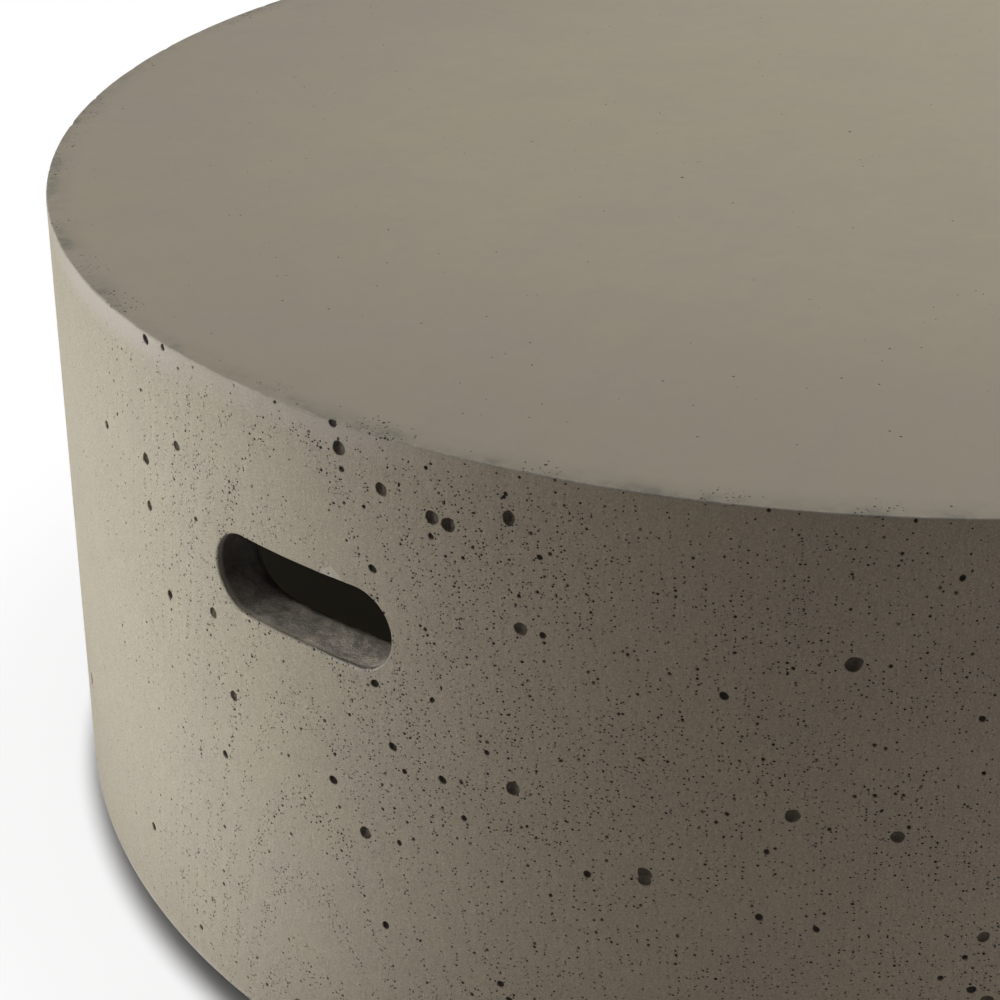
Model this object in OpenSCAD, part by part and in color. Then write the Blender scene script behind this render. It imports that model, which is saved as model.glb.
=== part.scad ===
// Round concrete coffee table: a hollow drum on four levelling feet.
// Millimetres, +Z up. The origin is on the floor, at the drum's axis. The hand holes are on +X and -X.

/* [Drum] */
// Diameter across the flat top
top_d = 800; // [600:10:1100]
// Height of the casting, from its rim to its top
drum_h = 305; // [220:5:450]
// Slope of the outside of the wall, wider at the rim
wall_draft = 1.9; // [0:0.1:4]
// Thickness of the wall at the rim
wall_t = 25; // [20:1:40]
// Slope of the inside of the wall, which lets the core out
core_draft = 2.2; // [1:0.1:5]
// Thickness of the top slab
slab_t = 25; // [18:1:50]
// Radius on the edge of the top
top_edge_r = 2; // [1:0.5:12]
// Radius on both edges of the rim
rim_edge_r = 3; // [1:0.5:8]
// Radius inside, where the wall meets the slab
core_corner_r = 25; // [8:1:60]

/* [Hand holes] */
// Width of a hand hole
hold_w = 96; // [80:1:140]
// Height of a hand hole
hold_h = 35; // [28:1:50]
// Drop from the top to the middle of a hand hole
hold_drop = 84; // [70:1:130]
// Radius of the rolled lip outside
hold_lip_r = 1.5; // [1:0.5:8]
// Radius of the rolled lip inside
hold_inner_lip_r = 7; // [1:0.5:10]

/* [Ribs] */
// Distance from the rim's outer edge in to the middle of a foot
foot_inset = 34; // [30:1:60]
// Radius of a rib's nose at the rim
rib_r = 24; // [18:1:34]
// Slope of the ribs, thicker towards the slab
rib_draft = 1; // [0:0.1:2]
// Width that a rib's flank gains where it runs into the wall
rib_flare = 14; // [4:1:30]

/* [Inserts] */
// Outer diameter of an insert's barrel
insert_d = 14; // [12:0.5:20]
// Length of an insert
insert_l = 34; // [30:1:60]
// Diameter of the anchor flange at its closed end
insert_flange_d = 22; // [18:1:30]
// Thickness of the anchor flange
insert_flange_t = 3; // [2:0.5:6]
// Depth of the threaded hole
thread_depth = 28; // [26:1:40]

/* [Studs] */
// Nominal diameter of the thread
thread_d = 8; // [6:1:10]
// Clearance all round the thread in its insert
thread_gap = 0.05; // [0.02:0.01:0.1]
// Length of thread inside the insert when the foot is fully in
thread_l = 24; // [20:1:26]
// Width of the spanner hexagon across its flats
hex_af = 13; // [11:0.5:17]
// Height of the spanner hexagon
hex_h = 3.6; // [2:0.2:6]
// Chamfer on the tip
tip_chamfer = 1; // [0.4:0.1:1.5]
// Diameter of the round head that turns in the glide
head_d = 16; // [14:0.5:20]
// Thickness of the round head
head_t = 2.4; // [1.5:0.1:4]

/* [Glides and soles] */
// Nylon round the edge of the sole
glide_skirt = 2; // [1:0.5:6]
// Nylon round the stud's head at the glide's top face
glide_shoulder = 3.8; // [2:0.1:6]
// Height of a glide's straight side
glide_side_h = 3; // [1:0.5:4]
// Nylon under the stud's head
glide_floor_t = 2.2; // [1.5:0.1:4]
// Nylon over the stud's head
glide_lip_t = 1.2; // [0.8:0.1:3]
// Clearance all round the stud in the glide
glide_gap = 0.2; // [0.1:0.05:0.4]
// Gap between the glide and the spanner hexagon
neck_gap = 0.4; // [0.2:0.1:1]
// Diameter of a rubber sole
sole_d = 36; // [28:1:44]
// Thickness of a rubber sole
sole_t = 3; // [2:0.5:5]
// Depth of the glide's recess that the sole is bonded into
sole_seat = 1; // [0.5:0.1:1.5]
// Width of a groove in the sole
groove_w = 1.6; // [1:0.2:2.4]
// Depth of a groove in the sole
groove_depth = 1; // [0.5:0.1:1.4]

/* [Hidden] */
FEET = [1, 2, 3, 4];

$fn = 96;
// Sides of the casting's round forms
drum_sides = 256;
// How far a cut runs past the face that it goes through
past = 10;
// How far a hand hole's lip turns before it leaves the wall's face
lip_turn = 75;
// How far the inner corners of a rib's flanks lie within its nose
flank_tuck = 1.5;

// Heights above the floor, from the sole upwards
glide_z = sole_t - sole_seat;
head_z = sole_t + glide_floor_t;
head_top_z = head_z + head_t;
glide_top_z = head_top_z + glide_gap + glide_lip_t;
hex_z = glide_top_z + neck_gap;
rim_z = hex_z + hex_h;
top_z = rim_z + drum_h;
under_z = top_z - slab_t;
hold_z = top_z - hold_drop;

// Radii of the casting
top_r = top_d / 2;
base_r = outer_r(rim_z);
core_r = base_r - wall_t;
foot_r = base_r - foot_inset;

// Sizes of the feet
pocket_r = head_d / 2 + glide_gap;
throat_r = thread_d / 2 + glide_gap;
glide_r = sole_d / 2 + glide_skirt;
glide_top_r = pocket_r + glide_shoulder;

concrete = [0.60, 0.57, 0.50];
zinc = [0.72, 0.72, 0.70];
nylon = [0.16, 0.16, 0.16];
rubber = [0.08, 0.08, 0.08];

// Outer radius of the wall at a height
function outer_r(z) = top_r + (top_z - z) * tan(wall_draft);

// Inner radius of the wall at a height
function inner_r(z) = core_r - (z - rim_z) * tan(core_draft);

// Direction of a vector
function unit(v) = v / norm(v);

// Points of the arc that rounds a corner of a section
function round_corner(before, corner, after, r, steps = 6) =
    let(
        u = unit(before - corner),
        v = unit(after - corner),
        half = acos(u * v) / 2,
        centre = corner + unit(u + v) * r / sin(half),
        from = corner + u * r / tan(half) - centre,
        to = corner + v * r / tan(half) - centre,
        a = atan2(from.y, from.x),
        turn = atan2(from.x * to.y - from.y * to.x, from * to)
    )
    [for (i = [0:steps]) centre + r * [cos(a + turn * i / steps), sin(a + turn * i / steps)]];

// Solid outer form of the casting, with its top and rim edges rounded
module outer_form() {
    axis_top = [0, top_z];
    edge = [top_r, top_z];
    foot = [base_r, rim_z];
    axis_foot = [0, rim_z];
    rotate_extrude($fn = drum_sides)
        polygon(concat(
            [axis_top],
            round_corner(axis_top, edge, foot, top_edge_r),
            round_corner(edge, foot, axis_foot, rim_edge_r),
            [axis_foot]
        ));
}

// Space inside the wall, open at the rim
module core_form() {
    axis_under = [0, under_z];
    corner = [inner_r(under_z), under_z];
    mouth = [core_r, rim_z];
    flare_r = core_r + rim_edge_r;
    rotate_extrude($fn = drum_sides)
        polygon(concat(
            [axis_under],
            round_corner(axis_under, corner, mouth, core_corner_r, 10),
            [for (a = [0:15:90])
                [flare_r, rim_z + rim_edge_r] - rim_edge_r * [cos(a), sin(a)]],
            [[flare_r, rim_z - past], [0, rim_z - past]]
        ));
}

// Where a foot stands
module at_foot(i) {
    rotate([0, 0, 90 * i - 45])
        translate([foot_r, 0, 0])
            children();
}

// Upright rib inside the wall that an insert is cast into
module rib_form() {
    rib_h = drum_h - slab_t / 2;
    nose_x = -rib_r / 3;
    nose_y = rib_r - flank_tuck;
    wall_y = rib_r + rib_flare;
    translate([0, 0, rim_z]) {
        cylinder(h = rib_h, r1 = rib_r, r2 = rib_r + rib_h * tan(rib_draft));
        linear_extrude(rib_h)
            polygon([[nose_x, -nose_y], [foot_inset, -wall_y], [foot_inset, wall_y], [nose_x, nose_y]]);
    }
}

// Outline of a hand hole, as [y, z] points round its middle, widened all round by grow
function hold_outline(grow, end_steps = 12, side_steps = 6) =
    let(
        r = hold_h / 2 + grow,
        reach = (hold_w - hold_h) / 2,
        side = [for (i = [1:side_steps - 1]) reach * (1 - 2 * i / side_steps)]
    )
    concat(
        [for (i = [0:end_steps]) let(a = -90 + 180 * i / end_steps) [reach + r * cos(a), r * sin(a)]],
        [for (y = side) [y, r]],
        [for (i = [0:end_steps]) let(a = 90 + 180 * i / end_steps) [-reach + r * cos(a), r * sin(a)]],
        [for (y = side) [-y, -r]]
    );

// Ring of points on the wall's outer (side 1) or inner (side -1) face, sunk into the wall by depth
function hold_ring(side, depth, grow) =
    [for (p = hold_outline(grow))
        let(
            z = hold_z + p.y,
            face_r = side > 0 ? outer_r(z) : inner_r(z)
        )
        [sqrt(face_r * face_r - p.x * p.x) - side * depth, p.x, z]];

// How far a lip widens a hand hole where it ends, just proud of the wall
function lip_grow(r) = r * (1 - cos(lip_turn)) + past / 2 * sin(lip_turn);

// Rings of a lip that rolls from the hole's side to the wall's face, ending just proud of it
function lip_rings(side, r, steps = 5) =
    concat(
        [for (i = [0:steps])
            let(a = lip_turn * i / steps)
            hold_ring(side, r * (1 - sin(a)), r * (1 - cos(a)))],
        [hold_ring(side, r * (1 - sin(lip_turn)) - past / 2 * cos(lip_turn), lip_grow(r))]
    );

// Flat ring that closes a hand hole's cutter clear of the wall
function hold_cap(x, grow) = [for (p = hold_outline(grow)) [x, p.x, hold_z + p.y]];

// Solid that cuts one hand hole through the wall, with a rolled lip on both faces
module hold_form() {
    outer = lip_rings(1, hold_lip_r);
    inner = lip_rings(-1, hold_inner_lip_r);
    inner_x = inner_r(hold_z) - 3 * past;
    outer_x = outer_r(hold_z) + past;
    rings = concat(
        [hold_cap(inner_x, lip_grow(hold_inner_lip_r))],
        [for (i = [len(inner) - 1:-1:0]) inner[i]],
        outer,
        [hold_cap(outer_x, lip_grow(hold_lip_r))]
    );
    n = len(rings[0]);
    count = n * len(rings);
    middles = [[inner_x, 0, hold_z], [outer_x, 0, hold_z]];
    sides = [for (i = [0:len(rings) - 2]) for (k = [0:n - 1])
        let(a = i * n + k, b = i * n + (k + 1) % n)
        each [[a, a + n, b], [b, a + n, b + n]]];
    ends = [for (k = [0:n - 1])
        let(next = (k + 1) % n)
        each [[k, next, count], [count - n + next, count - n + k, count + 1]]];
    polyhedron(concat([for (ring = rings) each ring], middles), concat(sides, ends));
}

// Outer form of an insert, from its mouth in the rim up to its anchor flange
module insert_form() {
    translate([0, 0, rim_z])
        cylinder(h = insert_l, d = insert_d);
    translate([0, 0, rim_z + insert_l - insert_flange_t])
        cylinder(h = insert_flange_t, d = insert_flange_d);
}

// The casting: wall, slab and ribs in one piece
module drum() {
    color(concrete)
        difference() {
            outer_form();
            difference() {
                core_form();
                for (i = FEET)
                    at_foot(i)
                        rib_form();
            }
            for (side = [0, 1])
                mirror([side, 0, 0])
                    hold_form();
            for (i = FEET)
                at_foot(i)
                    insert_form();
        }
}

// Threaded socket, closed at the top
module insert(i) {
    color(zinc)
        at_foot(i)
            difference() {
                insert_form();
                translate([0, 0, rim_z - past])
                    cylinder(h = past + thread_depth, d = thread_d + 2 * thread_gap);
            }
}

// Levelling stud: head, neck, spanner hexagon, thread and pointed tip
module stud(i) {
    tip_z = rim_z + thread_l;
    color(zinc)
        at_foot(i) {
            rotate_extrude()
                polygon([
                    [0, head_z],
                    [head_d / 2, head_z],
                    [head_d / 2, head_top_z],
                    [thread_d / 2, head_top_z],
                    [thread_d / 2, tip_z - tip_chamfer],
                    [thread_d / 2 - tip_chamfer, tip_z],
                    [0, tip_z],
                ]);
            translate([0, 0, hex_z])
                cylinder(h = hex_h, d = hex_af / cos(30), $fn = 6);
        }
}

// Nylon disc that the stud's head turns in, with a recess below for the sole
module glide(i) {
    color(nylon)
        at_foot(i)
            rotate_extrude()
                polygon([
                    [0, sole_t],
                    [sole_d / 2, sole_t],
                    [sole_d / 2, glide_z],
                    [glide_r, glide_z],
                    [glide_r, glide_z + glide_side_h],
                    [glide_top_r, glide_top_z],
                    [throat_r, glide_top_z],
                    [throat_r, head_top_z + glide_gap],
                    [pocket_r, head_top_z + glide_gap],
                    [pocket_r, head_z],
                    [0, head_z],
                ]);
}

// Rubber disc with ring grooves in its tread
module sole(i) {
    pitch = 3 * groove_w;
    color(rubber)
        at_foot(i)
            difference() {
                cylinder(h = sole_t, d = sole_d);
                translate([0, 0, -past])
                    for (r = [2 * pitch:pitch:sole_d / 2 - groove_w])
                        difference() {
                            cylinder(h = past + groove_depth, r = r);
                            cylinder(h = past + groove_depth, r = r - groove_w);
                        }
            }
}

drum();
insert(1);  // insert_1
insert(2);  // insert_2
insert(3);  // insert_3
insert(4);  // insert_4
stud(1);  // stud_1
stud(2);  // stud_2
stud(3);  // stud_3
stud(4);  // stud_4
glide(1);  // glide_1
glide(2);  // glide_2
glide(3);  // glide_3
glide(4);  // glide_4
sole(1);  // sole_1
sole(2);  // sole_2
sole(3);  // sole_3
sole(4);  // sole_4
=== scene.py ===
"""Concrete coffee table: the dressed casting, its levelling feet and a plain studio."""
import math

import bmesh
import bpy
from bpy.props import FloatProperty, FloatVectorProperty, IntProperty, PointerProperty
from mathutils import Matrix, Vector, noise


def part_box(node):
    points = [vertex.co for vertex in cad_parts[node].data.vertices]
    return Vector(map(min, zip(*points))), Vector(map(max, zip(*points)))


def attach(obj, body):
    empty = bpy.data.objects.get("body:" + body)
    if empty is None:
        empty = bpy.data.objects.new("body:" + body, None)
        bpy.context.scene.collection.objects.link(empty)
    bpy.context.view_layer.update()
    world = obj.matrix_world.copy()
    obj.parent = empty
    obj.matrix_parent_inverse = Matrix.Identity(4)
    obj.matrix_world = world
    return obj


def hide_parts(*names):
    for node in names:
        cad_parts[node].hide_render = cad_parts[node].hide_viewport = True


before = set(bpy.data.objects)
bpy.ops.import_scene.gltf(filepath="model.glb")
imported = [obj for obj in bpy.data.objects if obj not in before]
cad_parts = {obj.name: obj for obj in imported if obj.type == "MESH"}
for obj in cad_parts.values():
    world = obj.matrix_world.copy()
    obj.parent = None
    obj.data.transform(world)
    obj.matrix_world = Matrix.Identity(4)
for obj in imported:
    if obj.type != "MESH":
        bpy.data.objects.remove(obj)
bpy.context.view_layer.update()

bl_info = {
    "name": "Concrete coffee table",
    "version": (1, 0, 0),
    "blender": (4, 5, 0),
    "location": "3D View > Sidebar > Table",
    "description": "Builds a cast concrete drum table, its levelling feet and a studio",
    "category": "Add Mesh",
}

FEET = (1, 2, 3, 4)
MM = 0.001
OUTER_SEGMENTS = 960
CORE_SEGMENTS = 240
SOCKET_SEGMENTS = 48
WALL_ROWS = 8


# Settings that a user would change

def metres(name, description, default):
    """Setting that is a length."""
    return FloatProperty(name=name, description=description, default=default, unit="LENGTH")


def degrees(name, description, default):
    """Setting that is an angle, with its default in degrees."""
    return FloatProperty(
        name=name, description=description, default=math.radians(default), subtype="ANGLE")


def amount(name, description, default):
    """Setting that is a plain number."""
    return FloatProperty(name=name, description=description, default=default)


def rgb(name, description, default):
    """Setting that is a colour, or a tint that may also brighten."""
    return FloatVectorProperty(
        name=name, description=description, subtype="COLOR", size=3, min=0.0, max=2.0, default=default)


class CastingSettings(bpy.types.PropertyGroup):
    """Sizes of the concrete casting."""
    top_radius: metres("Top radius", "Radius across the flat top", 0.400)
    wall: metres("Wall", "Thickness of the wall at the rim", 0.025)
    slab: metres("Slab", "Thickness of the top slab", 0.025)
    core_draft: degrees("Core draft", "Slope of the inside of the wall", 2.2)
    top_edge: metres("Top edge", "Radius on the edge of the top", 0.0011)
    rim_edge: metres("Rim edge", "Radius on both edges of the rim", 0.003)
    core_corner: metres("Core corner", "Radius inside, where wall meets slab", 0.025)
    hold_width: metres("Hand hole width", "Width of a hand hole", 0.096)
    hold_height: metres("Hand hole height", "Height of a hand hole", 0.035)
    hold_drop: metres("Hand hole drop", "From the top to the middle of a hand hole", 0.084)
    upper_lip: metres("Upper lip", "Radius on a hand hole's upper edge", 0.0010)
    lower_lip: metres("Lower lip", "Radius on a hand hole's lower edge", 0.0013)
    inner_lip: metres("Inner lip", "Radius on a hand hole's edge inside the drum", 0.007)
    flake_place: metres("Flake place", "From a hand hole's middle to the flake above it", 0.0190)
    flake_width: metres("Flake width", "Width of that flake", 0.018)
    flake_height: metres("Flake height", "Height of that flake", 0.0054)
    flake_depth: metres("Flake depth", "Depth of that flake at the hand hole's edge", 0.0008)
    sill_roughness: metres("Sill roughness", "Height of the lumps inside a hand hole", 0.0007)
    chip_depth: metres("Chip depth", "Deepest chip on the edge of the top", 0.0007)
    rib_radius: metres("Rib radius", "Radius of a rib's nose at the rim", 0.024)
    rib_flare: metres("Rib flare", "Width that a rib's flank gains at the wall", 0.014)
    rib_draft: degrees("Rib draft", "Slope of the ribs, thicker towards the slab", 1.0)


class PoreSettings(bpy.types.PropertyGroup):
    """Air bubbles that the mould left in the casting's skin."""
    large: amount("Large pores", "Large pores on a square metre of wall", 180.0)
    medium: amount("Medium pores", "Medium pores on a square metre of wall", 460.0)
    small: amount("Small pores", "Small pores on a square metre of wall", 1800.0)
    dense_side: degrees("Dense side", "Direction of the two sides with the most pores, 0 at +X", -120.0)
    dense: amount("Dense share", "Share of those pores on the dense sides", 1.15)
    sparse: amount("Sparse share", "Share of those pores between the dense sides", 0.12)
    seed: IntProperty(name="Seed", description="Seed of the pores' places and shapes", default=7)


class FinishSettings(bpy.types.PropertyGroup):
    """Colours of the finishes."""
    concrete: rgb("Concrete", "Main colour of the concrete", (0.375, 0.338, 0.268))
    # Painted shade: warm tint of the wall on its -Y side, the side that lies in shade
    ochre: rgb("Ochre side", "Tint of the wall on the side that cured slowest", (1.0, 0.925, 0.880))
    inner_top: rgb("Inner top", "Tint of the middle of the top", (1.045, 1.035, 0.995))
    outer_top: rgb("Outer top", "Tint of the outer part of the top", (0.985, 0.960, 0.955))
    warm: rgb("Warm tone", "Olive tone in the concrete's clouding", (0.372, 0.336, 0.256))
    cool: rgb("Cool tone", "Mauve tone in the concrete's clouding", (0.352, 0.315, 0.262))
    laitance: rgb("Laitance", "Pale cement skin on worn edges", (0.58, 0.545, 0.49))
    # Painted light: the sill colour is pale so that, on the sill's upward faces, it carries the light
    # that falls there
    sill: rgb("Sill", "Mauve-grey of the hand-worked concrete in a hand hole", (0.780, 0.695, 0.590))
    bloom: rgb("Bloom", "Pale mauve band on the wall under the edge of the top", (0.46, 0.42, 0.39))
    stain: rgb("Stain", "Grey-green stain in patches along the rim of the top", (0.19, 0.18, 0.15))
    pinhole: rgb("Pinhole", "Shade inside a pinhole", (0.014, 0.011, 0.008))
    pore: rgb("Pore", "Shade inside a pore", (0.022, 0.018, 0.014))
    pit: rgb("Pit", "Shade of the pits on the rough inner face", (0.045, 0.038, 0.030))
    dust: rgb("Dust", "Dust from the casting on the feet", (0.36, 0.33, 0.27))
    zinc: rgb("Zinc", "Zinc plating of the studs and inserts", (0.60, 0.60, 0.58))
    nylon: rgb("Nylon", "Moulded nylon of the glides", (0.030, 0.030, 0.031))
    rubber: rgb("Rubber", "Rubber of the soles", (0.016, 0.016, 0.016))


class FootSettings(bpy.types.PropertyGroup):
    """Sizes of the levelling feet."""
    pitch: metres("Pitch", "Pitch of the studs' thread", 0.00125)
    thread_radius: metres("Thread radius", "Radius over the thread's crests", 0.00398)
    thread_depth: metres("Thread depth", "Height of the thread's ridges", 0.00062)
    head_radius: metres("Head radius", "Radius of a stud's round head", 0.008)
    head_height: metres("Head height", "Thickness of a stud's round head", 0.0024)
    hexagon: metres("Hexagon", "Spanner hexagon across its flats", 0.013)
    hexagon_height: metres("Hexagon height", "Height of the spanner hexagon", 0.0036)


class StageSettings(bpy.types.PropertyGroup):
    """Camera and lamps of the studio."""
    azimuth: degrees("Azimuth", "Direction that the camera stands in, 0 at -Y", -58.466)
    distance: metres("Distance", "Camera to the drum's axis, on the floor plan", 1.0558)
    height: metres("Height", "Camera above the drum's rim", 0.6587)
    yaw: degrees("Yaw", "Turn of the camera away from the axis", 10.293)
    pitch: degrees("Pitch", "Tilt of the camera below the horizon", 28.145)
    roll: degrees("Roll", "Roll of the camera", -1.419)
    lens: amount("Lens", "Focal length in millimetres", 80.0)
    key_power: amount("Key power", "Power of the gridded lamp close on the left", 0.98)
    side_power: amount("Side power", "Power of the lamp on the right", 25.0)
    back_power: amount("Back power", "Power of the lamp behind on the right", 23.0)
    top_power: amount("Top power", "Power of the lamp overhead", 21.5)
    fill_power: amount("Fill power", "Power of the high lamp on the camera's left", 4.4)
    low_power: amount("Low power", "Power of the small lamp near the floor", 0.035)
    ambient: amount("Ambient", "Strength of the light from all round", 0.04)


# Node trees

SOCKET_KINDS = {
    "Vector": "NodeSocketVector",
    "Seed": "NodeSocketInt",
    "Geometry": "NodeSocketGeometry",
    "Material": "NodeSocketMaterial",
}


class Value:
    """Output of a node, which sums can use like a number."""

    def __init__(self, socket):
        self.socket = socket
        self.tree = socket.id_data

    def __add__(self, other):
        return maths("ADD", self, other)

    def __sub__(self, other):
        return maths("SUBTRACT", self, other)

    def __rsub__(self, other):
        return maths("SUBTRACT", other, self)

    def __mul__(self, other):
        return maths("MULTIPLY", self, other)

    def __truediv__(self, other):
        return maths("DIVIDE", self, other)

    def __abs__(self):
        return maths("ABSOLUTE", self)

    def remap(self, low, high, new_low=0.0, new_high=1.0, kind="SMOOTHSTEP"):
        """This value taken from one range to another, and clamped."""
        ends = {"From Min": low, "From Max": high, "To Min": new_low, "To Max": new_high}
        return add_node(
            self.tree, "ShaderNodeMapRange", {"Value": self, **ends}, interpolation_type=kind)["Result"]


class Outputs:
    """Outputs of a node, found by name or place."""

    def __init__(self, made):
        self.made = made

    def __getitem__(self, key):
        return Value(self.made.outputs[key])


def fill(made, values):
    """Fills a node's inputs, found by name or place, with values, links or lists of links."""
    for key, value in values.items():
        socket = made.inputs[key]
        for each in value if isinstance(value, list) else [value]:
            if isinstance(each, Value):
                made.id_data.links.new(each.socket, socket)
            elif socket.type == "RGBA":
                socket.default_value = (*each, 1.0)
            else:
                socket.default_value = each


def add_node(tree, kind, values=None, **settings):
    """Adds a node with its settings and inputs."""
    made = tree.nodes.new(kind)
    for key, value in settings.items():
        setattr(made, key, value)
    fill(made, values or {})
    return Outputs(made)


def tree_of(*values):
    """Tree that the first output among some values belongs to."""
    return next(value.tree for value in values if isinstance(value, Value))


def maths(operation, *values, clamp=False):
    """Math node's result."""
    inputs = dict(enumerate(values))
    return add_node(tree_of(*values), "ShaderNodeMath", inputs, operation=operation, use_clamp=clamp)[0]


def vector_maths(operation, *values, out="Vector"):
    """Vector Math node's result."""
    inputs = dict(enumerate(values))
    return add_node(tree_of(*values), "ShaderNodeVectorMath", inputs, operation=operation)[out]


def scaled(vector, factor):
    """Vector multiplied by a value."""
    inputs = {0: vector, "Scale": factor}
    return add_node(vector.tree, "ShaderNodeVectorMath", inputs, operation="SCALE")["Vector"]


def vector_of(tree, x=0.0, y=0.0, z=0.0):
    """Vector of three numbers or values."""
    return add_node(tree, "ShaderNodeCombineXYZ", {"X": x, "Y": y, "Z": z})["Vector"]


def parts_of(vector):
    """X, Y and Z of a vector."""
    return add_node(vector.tree, "ShaderNodeSeparateXYZ", {"Vector": vector})


def across(first, second):
    """Length of the long side of a right triangle."""
    return maths("SQRT", first * first + second * second)


def blend(factor, first, second, mode="MIX"):
    """Mix of two colours by a factor."""
    return add_node(
        tree_of(factor, first, second), "ShaderNodeMix", {"Factor": factor, 6: first, 7: second},
        data_type="RGBA", blend_type=mode)[2]


def shaded(factor, colour, value):
    """Colour multiplied by a value, by a factor."""
    channels = {"Red": value, "Green": value, "Blue": value}
    grey = add_node(value.tree, "ShaderNodeCombineColor", channels)["Color"]
    return blend(factor, colour, grey, "MULTIPLY")


def cloud(vector, scale, detail=3.0, roughness=0.55, distortion=0.0):
    """Noise texture's value."""
    inputs = {"Vector": vector, "Scale": scale, "Detail": detail, "Roughness": roughness}
    return add_node(vector.tree, "ShaderNodeTexNoise", {**inputs, "Distortion": distortion})["Fac"]


def bump(height):
    """Normal that a height in metres bends."""
    inputs = {"Height": height, "Distance": 1.0, "Strength": 1.0}
    return add_node(height.tree, "ShaderNodeBump", inputs)["Normal"]


def facing_up(tree):
    """How far the surface faces up, from -1 to 1."""
    return parts_of(add_node(tree, "ShaderNodeNewGeometry")["Normal"])["Z"]


def new_group(name, kind, takes, gives):
    """Node group: its tree, the values that it takes and the node that its results go to."""
    tree = bpy.data.node_groups.new(name, kind)
    for way, labels in (("INPUT", takes), ("OUTPUT", gives)):
        for label in labels:
            socket_kind = SOCKET_KINDS.get(label, "NodeSocketFloat")
            tree.interface.new_socket(name=label, in_out=way, socket_type=socket_kind)
    return tree, Outputs(tree.nodes.new("NodeGroupInput")), tree.nodes.new("NodeGroupOutput")


def use_group(name, values):
    """Places a shader group in the tree that its vector comes from."""
    group = bpy.data.node_groups[name]
    return add_node(values["Vector"].tree, "ShaderNodeGroup", values, node_tree=group)


def build_pinhole_group():
    """Group that scatters round pinholes: their mask, depth and a painted highlight on their lower lips.
    """
    tree, taken, given = new_group(
        "Pinholes", "ShaderNodeTree", ("Vector", "Spacing", "Largest", "Share"),
        ("Mask", "Height", "Pit Glint"))
    vector, spacing = taken["Vector"], taken["Spacing"]
    scale = maths("DIVIDE", 1.0, spacing)
    cells = add_node(
        tree, "ShaderNodeTexVoronoi", {"Vector": vector, "Scale": scale, "Randomness": 0.95},
        feature="F1", distance="EUCLIDEAN")
    chance = add_node(tree, "ShaderNodeSeparateColor", {"Color": cells["Color"]})
    kept = maths("LESS_THAN", chance["Red"], taken["Share"])
    radius = taken["Largest"] * (maths("POWER", chance["Green"], 1.8) * 0.5 + 0.5)
    inside = maths("SUBTRACT", 1.0, cells["Distance"] * spacing / radius, clamp=True)
    hollow = inside.remap(0.34, 0.46)
    # Painted highlight: a pale crescent on the lower lip of each pinhole, where light would catch it
    below = parts_of(vector_maths("SUBTRACT", cells["Position"], vector))["Z"] / radius
    pit_glint = below.remap(0.15, 0.55) * inside.remap(0.02, 0.16) * (1.0 - hollow)
    fill(given, {"Mask": hollow * kept, "Height": inside * radius * kept * -1.0, "Pit Glint": pit_glint * kept})


def build_zones_group():
    """Group that finds the casting's zones from object coordinates, each as a mask."""
    tree, taken, given = new_group(
        "Zones", "ShaderNodeTree",
        ("Vector", "Top Radius", "Top Height", "Base Radius", "Rim Height", "Hole Height", "Hole Reach",
         "Hole Radius"),
        ("Wall", "Rim", "Smudge", "Arris", "Brow", "Open Wall", "Sill", "Lip", "Depth"))
    spot = parts_of(taken["Vector"])
    top_r, base_r = taken["Top Radius"], taken["Base Radius"]
    radius = across(spot["X"], spot["Y"])
    drop = taken["Top Height"] - spot["Z"]
    above_rim = spot["Z"] - taken["Rim Height"]
    slope = (base_r - top_r) / (drop + above_rim)
    behind = drop * slope + top_r - radius
    wall = drop.remap(0.4 * MM, 1.3 * MM)
    top = 1.0 - wall

    past_edge = radius - top_r
    arris = across(past_edge, drop).remap(0.3 * MM, 1.0 * MM, 0.9, 0.0)
    heel = across(radius - base_r, above_rim).remap(2.0 * MM, 6.0 * MM, 0.8, 0.0)

    side_reach = maths("MAXIMUM", abs(spot["Y"]) - taken["Hole Reach"], 0.0)
    rise = spot["Z"] - taken["Hole Height"]
    gap = across(side_reach, rise) - taken["Hole Radius"]
    at_hole = maths("GREATER_THAN", abs(spot["X"]), top_r * 0.8)
    sill = behind.remap(1.0 * MM, 4.0 * MM) * gap.remap(1.5 * MM, 6.0 * MM, 1.0, 0.0)
    lip = abs(gap - 0.3 * MM).remap(0.3 * MM, 1.1 * MM, 1.0, 0.0)
    lip = lip * behind.remap(0.6 * MM, 1.8 * MM, 1.0, 0.0)
    lip = lip * rise.remap(-12.0 * MM, 6.0 * MM, 1.0, 0.15)
    # Painted highlight: the lip grows paler towards the -Y end of the hole, which faces the light; the
    # pale lower lip itself is wear
    lip = lip * spot["Y"].remap(-36.0 * MM, 10.0 * MM, 1.3, 0.2)
    fill(given, {
        "Wall": wall,
        "Rim": past_edge.remap(-15.0 * MM, -3.0 * MM) * top,
        "Smudge": past_edge.remap(-8.0 * MM, -2.0 * MM) * top,
        "Arris": maths("MAXIMUM", arris, heel),
        "Brow": drop.remap(4.0 * MM, 15.0 * MM, 1.0, 0.0) * wall,
        "Open Wall": drop.remap(2.0 * MM, 16.0 * MM, 0.2, 1.0) * wall,
        "Sill": sill * at_hole,
        "Lip": lip * at_hole,
        "Depth": maths("MINIMUM", behind, drop),
    })


def build_clouding_group():
    """Group for the slow drift of tone in cast concrete, and its fine mottling."""
    tree, taken, given = new_group(
        "Clouding", "ShaderNodeTree", ("Vector",), ("Drift", "Blotches", "Mottle", "Sand"))
    vector = taken["Vector"]
    fill(given, {
        "Drift": cloud(vector, 5.0, 3.0, 0.6, 0.6).remap(0.30, 0.70),
        "Blotches": cloud(vector, 22.0, 4.0, 0.62, 0.3).remap(0.35, 0.70),
        "Mottle": cloud(vector, 110.0, 4.0, 0.65),
        "Sand": cloud(vector, 1500.0, 2.0, 0.6),
    })


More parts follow.
